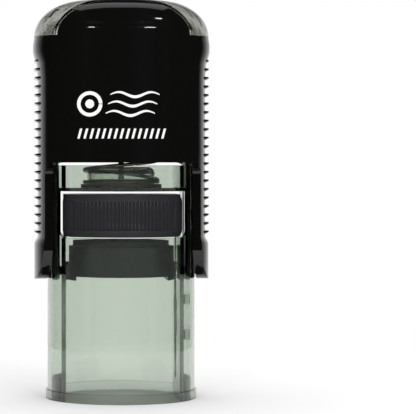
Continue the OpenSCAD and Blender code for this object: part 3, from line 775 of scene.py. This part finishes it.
# ---------------------------------------------------------------------------
# Spring gear on the deck: a dark seat disc with its post, a clear boss that
# centres the spring, and the return spring of drawn steel wire.
# ---------------------------------------------------------------------------
SEAT_T = 0.6
POST_R = 0.5
BOSS_ROUND = 1.2
BOSS_WALL = 0.6
WIRE_D = 0.65
SPRING_TURNS = 6
guide_low, guide_high = node_box("spring_guide")
spring_low, spring_high = node_box("return_spring")
seat_r, seat_top = seat_high[0], seat_low[2] + SEAT_T
matte_black, tree, shader, in_mm = new_material("moulded_black_acetal")
grain = add_node(tree, "ShaderNodeTexNoise", {"Vector": in_mm}, Scale=3.0, Detail=4.0)
rough_skin = add_node(tree, "ShaderNodeBump", {"Height": grain.outputs["Fac"]}, Strength=0.2, Distance=0.00005)
tree.links.new(rough_skin.outputs["Normal"], shader.inputs["Normal"])
sheen = add_node(tree, "ShaderNodeMapRange", {"Value": grain.outputs["Fac"]}, To_Min=0.3, To_Max=0.5)
tree.links.new(sheen.outputs["Result"], shader.inputs["Roughness"])
shader.inputs["Base Color"].default_value = linear("#151616")
seat = turned([(0.02, seat_low[2]), (seat_r, seat_low[2]), (seat_r, seat_top), (POST_R, seat_top),
               (POST_R, seat_high[2] - 0.2), (POST_R - 0.2, seat_high[2]), (0.02, seat_high[2])])
add_piece("seat_and_post", [seat], matte_black, "base", ["spring_seat"], bevel=0.06)

boss_r, boss_top = guide_high[0], guide_high[2]
bend = np.radians(np.linspace(0, 90, 9))
boss_outside = [(boss_r - BOSS_ROUND * (1 - np.cos(a)), boss_top - BOSS_ROUND * (1 - np.sin(a))) for a in bend]
boss_inside = [(boss_r - BOSS_WALL, guide_low[2]), (boss_r - BOSS_WALL, boss_top - BOSS_ROUND),
               (boss_r - BOSS_ROUND, boss_top - BOSS_WALL), (POST_R + 0.1, boss_top - BOSS_WALL)]
boss = turned([(boss_r, guide_low[2]), *boss_outside, (POST_R + 0.1, boss_top), *boss_inside[::-1]])
add_piece("centring_boss", [boss], clear_green, "base", ["spring_guide"])


def coil(radius, wire, low, high, turns):
    """A compression spring: a circle of wire carried along a helix. Its height is level for the first and
    the last turn and climbs evenly between, and each end is closed by a cap."""
    sides, steps = 10, 40
    t = np.linspace(0, turns + 2, (turns + 2) * steps + 1)[:, None]
    climb = np.clip((t - 0.9) / (turns + 0.2), 0, 1)
    middle = low + wire / 2 + (high - low - wire) * climb
    round_wire = 2 * np.pi * np.arange(sides) / sides
    reach = radius + wire / 2 * np.cos(round_wire)
    points = np.stack([reach * np.cos(2 * np.pi * t), reach * np.sin(2 * np.pi * t),
                       middle + wire / 2 * np.sin(round_wire)], axis=-1)
    index = np.arange(len(t) * sides).reshape(-1, sides)
    beside = np.roll(index, -1, axis=1)
    quads = np.stack([index[:-1], index[1:], beside[1:], beside[:-1]], axis=-1).reshape(-1, 4)
    return points.reshape(-1, 3), [*quads.tolist(), index[0].tolist(), index[-1][::-1].tolist()]


# Drawn music wire, oiled and browned by its heat treatment.
wire_steel, tree, shader, in_mm = new_material("oil_tempered_steel_wire")
stain = add_node(tree, "ShaderNodeTexNoise", {"Vector": in_mm}, Scale=0.9, Detail=3.0)
stain_colour = add_node(tree, "ShaderNodeMix", {"Factor": stain.outputs["Fac"]}, data_type="RGBA",
                        A=linear("#4b4634"), B=linear("#8a8368"))
tree.links.new(stain_colour.outputs["Result"], shader.inputs["Base Color"])
shader.inputs["Metallic"].default_value = 1.0
shader.inputs["Roughness"].default_value = 0.32
spring = add_piece("wire_spring", [coil(spring_high[0] - WIRE_D / 2, WIRE_D, spring_low[2], spring_high[2],
                                        SPRING_TURNS)], wire_steel, "base", ["return_spring"])
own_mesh(spring)

# ---------------------------------------------------------------------------
# Bumpers: two dark rubber blocks at the foot of the side channels, which stop
# the legs of the yoke. Pressed in from below.
# ---------------------------------------------------------------------------
bumper_low, bumper_high = node_box("bumper_right")
bumper_r = base_in - 0.1
arc_y = np.linspace(-1, 1, 25) * np.sqrt(bumper_r ** 2 - bumper_low[0] ** 2)
segment = np.stack([np.sqrt(bumper_r ** 2 - arc_y ** 2), arc_y], axis=-1)
nitrile, tree, shader, in_mm = new_material("dark_nitrile_rubber")
crumb = add_node(tree, "ShaderNodeTexNoise", {"Vector": in_mm}, Scale=2.2, Detail=5.0, Roughness=0.7)
crumb_colour = add_node(tree, "ShaderNodeMix", {"Factor": crumb.outputs["Fac"]}, data_type="RGBA",
                        A=linear("#0a0c0a"), B=linear("#1f241f"))
crumb_skin = add_node(tree, "ShaderNodeBump", {"Height": crumb.outputs["Fac"]}, Strength=0.6, Distance=0.0001)
tree.links.new(crumb_colour.outputs["Result"], shader.inputs["Base Color"])
tree.links.new(crumb_skin.outputs["Normal"], shader.inputs["Normal"])
shader.inputs["Roughness"].default_value = 0.75
for name, side in (("stop_left", -1), ("stop_right", 1)):
    add_piece(name, [plate(segment * [side, 1], bumper_low[2], bumper_high[2])], nitrile, "base",
              ["bumper_left" if side < 0 else "bumper_right"], bevel=0.1)

# ---------------------------------------------------------------------------
# Die: a black acetal cup on two pivot pins holds a hard plate, a strip of foam
# tape and the laser-cut rubber, glued in that order.
# ---------------------------------------------------------------------------
FOOT_H = 0.7
DOG_HALF = 1.6
DOG_R = 2
PIN_R = 0.8
RELIEF_T = 0.7
RING_W = 0.8
CUP_GAP = 0.1
carriage_low, carriage_high = node_box("die_carriage")
plate_low, plate_high = node_box("die_plate")
foam_low, foam_high = node_box("foam_tape")
rubber_low, rubber_high = node_box("rubber_die")
carriage_r = carriage_high[1]
carriage_z = carriage_low[2] + FOOT_H


def disc(radius, low, high, place=(0.0, 0.0), steps=96):
    """A plain disc whose axis stands at a place."""
    points, faces = turned([(0.02, low), (radius, low), (radius, high), (0.02, high)], steps)
    return points + np.array([*place, 0.0]), faces


def pivot_pin(side):
    """A round pin along X at the height of the pivot, from inside the carriage to the leg."""
    points, faces = turned([(0.02, carriage_r - 1.0), (PIN_R, carriage_r - 1.0), (PIN_R, carriage_high[0] - 0.15),
                            (PIN_R - 0.15, carriage_high[0]), (0.02, carriage_high[0])], 32)
    return np.stack([side * points[:, 2], points[:, 0], axis_z + points[:, 1]], axis=-1), faces


foot_y = np.linspace(-5, 5, 15)
foot_outline = np.concatenate([np.stack([np.sqrt(carriage_r ** 2 - foot_y ** 2), foot_y], axis=-1)])
foot_outline = np.concatenate([foot_outline, [(carriage_r - 1.4, 5.0), (carriage_r - 1.4, -5.0)]])
foot_outline = foot_outline[foot_outline[:, 0] >= carriage_r - 1.41]
dog_turn = np.linspace(0, 2 * np.pi, 48, endpoint=False)
dog_edge = np.minimum(DOG_R, DOG_HALF / np.maximum(np.abs(np.cos(dog_turn)), np.abs(np.sin(dog_turn))))
dog_up = np.minimum(dog_edge * np.sin(dog_turn), DOG_HALF - 0.02)
dog = np.stack([dog_edge * np.cos(dog_turn), axis_z + dog_up], axis=-1)
cup_in = rubber_high[0] + CUP_GAP
carriage = [turned([(0.02, carriage_z), (carriage_r, carriage_z), (carriage_r, carriage_high[2]),
                    (cup_in, carriage_high[2]), (cup_in, plate_low[2]), (0.02, plate_low[2])])]
for side in (-1, 1):
    carriage.append(plate(foot_outline * [side, 1], carriage_low[2], carriage_z + 0.3))
    reach = sorted((side * (carriage_r - 1.2), side * (chamber_out - 0.05)))
    carriage.append(plate(dog, reach[0], reach[1], axis=0))
    carriage.append(pivot_pin(side))
add_piece("die_holder", carriage, matte_black, "die", ["die_carriage"], bevel=0.08)
add_piece("die_backing", [disc(plate_high[0], plate_low[2], plate_high[2])], matte_black, "die",
          ["die_plate"], bevel=0.06)

# Closed-cell foam: cells of about 0.2 mm show on its cut edge.
black_foam, tree, shader, in_mm = new_material("closed_cell_foam_tape")
cells = add_node(tree, "ShaderNodeTexVoronoi", {"Vector": in_mm}, Scale=4.0)
cell_colour = add_node(tree, "ShaderNodeMix", {"Factor": cells.outputs["Distance"]}, data_type="RGBA",
                       A=linear("#0c0c0c"), B=linear("#2b2b29"))
cell_skin = add_node(tree, "ShaderNodeBump", {"Height": cells.outputs["Distance"]}, Strength=0.6, Distance=0.00008)
tree.links.new(cell_colour.outputs["Result"], shader.inputs["Base Color"])
tree.links.new(cell_skin.outputs["Normal"], shader.inputs["Normal"])
shader.inputs["Roughness"].default_value = 0.85
add_piece("foam_layer", [disc(foam_high[0], foam_low[2], foam_high[2])], black_foam, "die", ["foam_tape"])

# Stamp rubber: cut by a laser, whose passes leave a line about every 0.1 mm.
cut_rubber, tree, shader, in_mm = new_material("laser_cut_stamp_rubber")
passes = add_node(tree, "ShaderNodeTexWave", {"Vector": in_mm}, Scale=1.6, Distortion=0.6, bands_direction="Y")
bloom = add_node(tree, "ShaderNodeTexNoise", {"Vector": in_mm}, Scale=1.2, Detail=3.0)
bloom_colour = add_node(tree, "ShaderNodeMix", {"Factor": bloom.outputs["Fac"]}, data_type="RGBA",
                        A=linear("#131312"), B=linear("#2e2d2b"))
pass_skin = add_node(tree, "ShaderNodeBump", {"Height": passes.outputs["Fac"]}, Strength=0.3, Distance=0.00003)
tree.links.new(bloom_colour.outputs["Result"], shader.inputs["Base Color"])
tree.links.new(pass_skin.outputs["Normal"], shader.inputs["Normal"])
shader.inputs["Roughness"].default_value = 0.7
die_r = rubber_high[0]
relief_z = rubber_high[2] - RELIEF_T
ring = turned([(die_r - RING_W, relief_z - 0.05), (die_r - 0.02, relief_z - 0.05), (die_r - 0.02, rubber_high[2]),
               (die_r - RING_W, rubber_high[2])])
dots = [disc(1.1, relief_z - 0.05, rubber_high[2], (die_r / 2 * np.cos(a), die_r / 2 * np.sin(a)), 32)
        for a in np.radians(np.arange(0, 360, 45))]
add_piece("relief_rubber", [disc(die_r, rubber_low[2], relief_z), ring, disc(1.6, relief_z - 0.05, rubber_high[2],
                                                                         steps=32), *dots],
          cut_rubber, "die", ["rubber_die"])

# ---------------------------------------------------------------------------
# Press yoke and index card: the yoke is one black acetal moulding in the roof
# of the housing, kept as built. The card is thin board under the clear window.
# ---------------------------------------------------------------------------
yoke = bpy.data.objects["press_yoke"]
for slot in yoke.material_slots:
    slot.material = matte_black
card_board, tree, shader, in_mm = new_material("coated_white_card")
pulp = add_node(tree, "ShaderNodeTexNoise", {"Vector": in_mm}, Scale=3.0, Detail=5.0)
pulp_colour = add_node(tree, "ShaderNodeMix", {"Factor": pulp.outputs["Fac"]}, data_type="RGBA",
                       A=linear("#e4e3dd"), B=linear("#f7f6f1"))
tree.links.new(pulp_colour.outputs["Result"], shader.inputs["Base Color"])
shader.inputs["Roughness"].default_value = 0.6
card_outline = [(card_low[0], card_low[1]), (card_high[0], card_low[1]), (card_high[0], card_high[1]),
                (card_low[0], card_high[1])]
add_piece("size_card", [plate(card_outline, card_low[2], card_high[2])], card_board, "cap", ["index_card"],
          bevel=0.03)
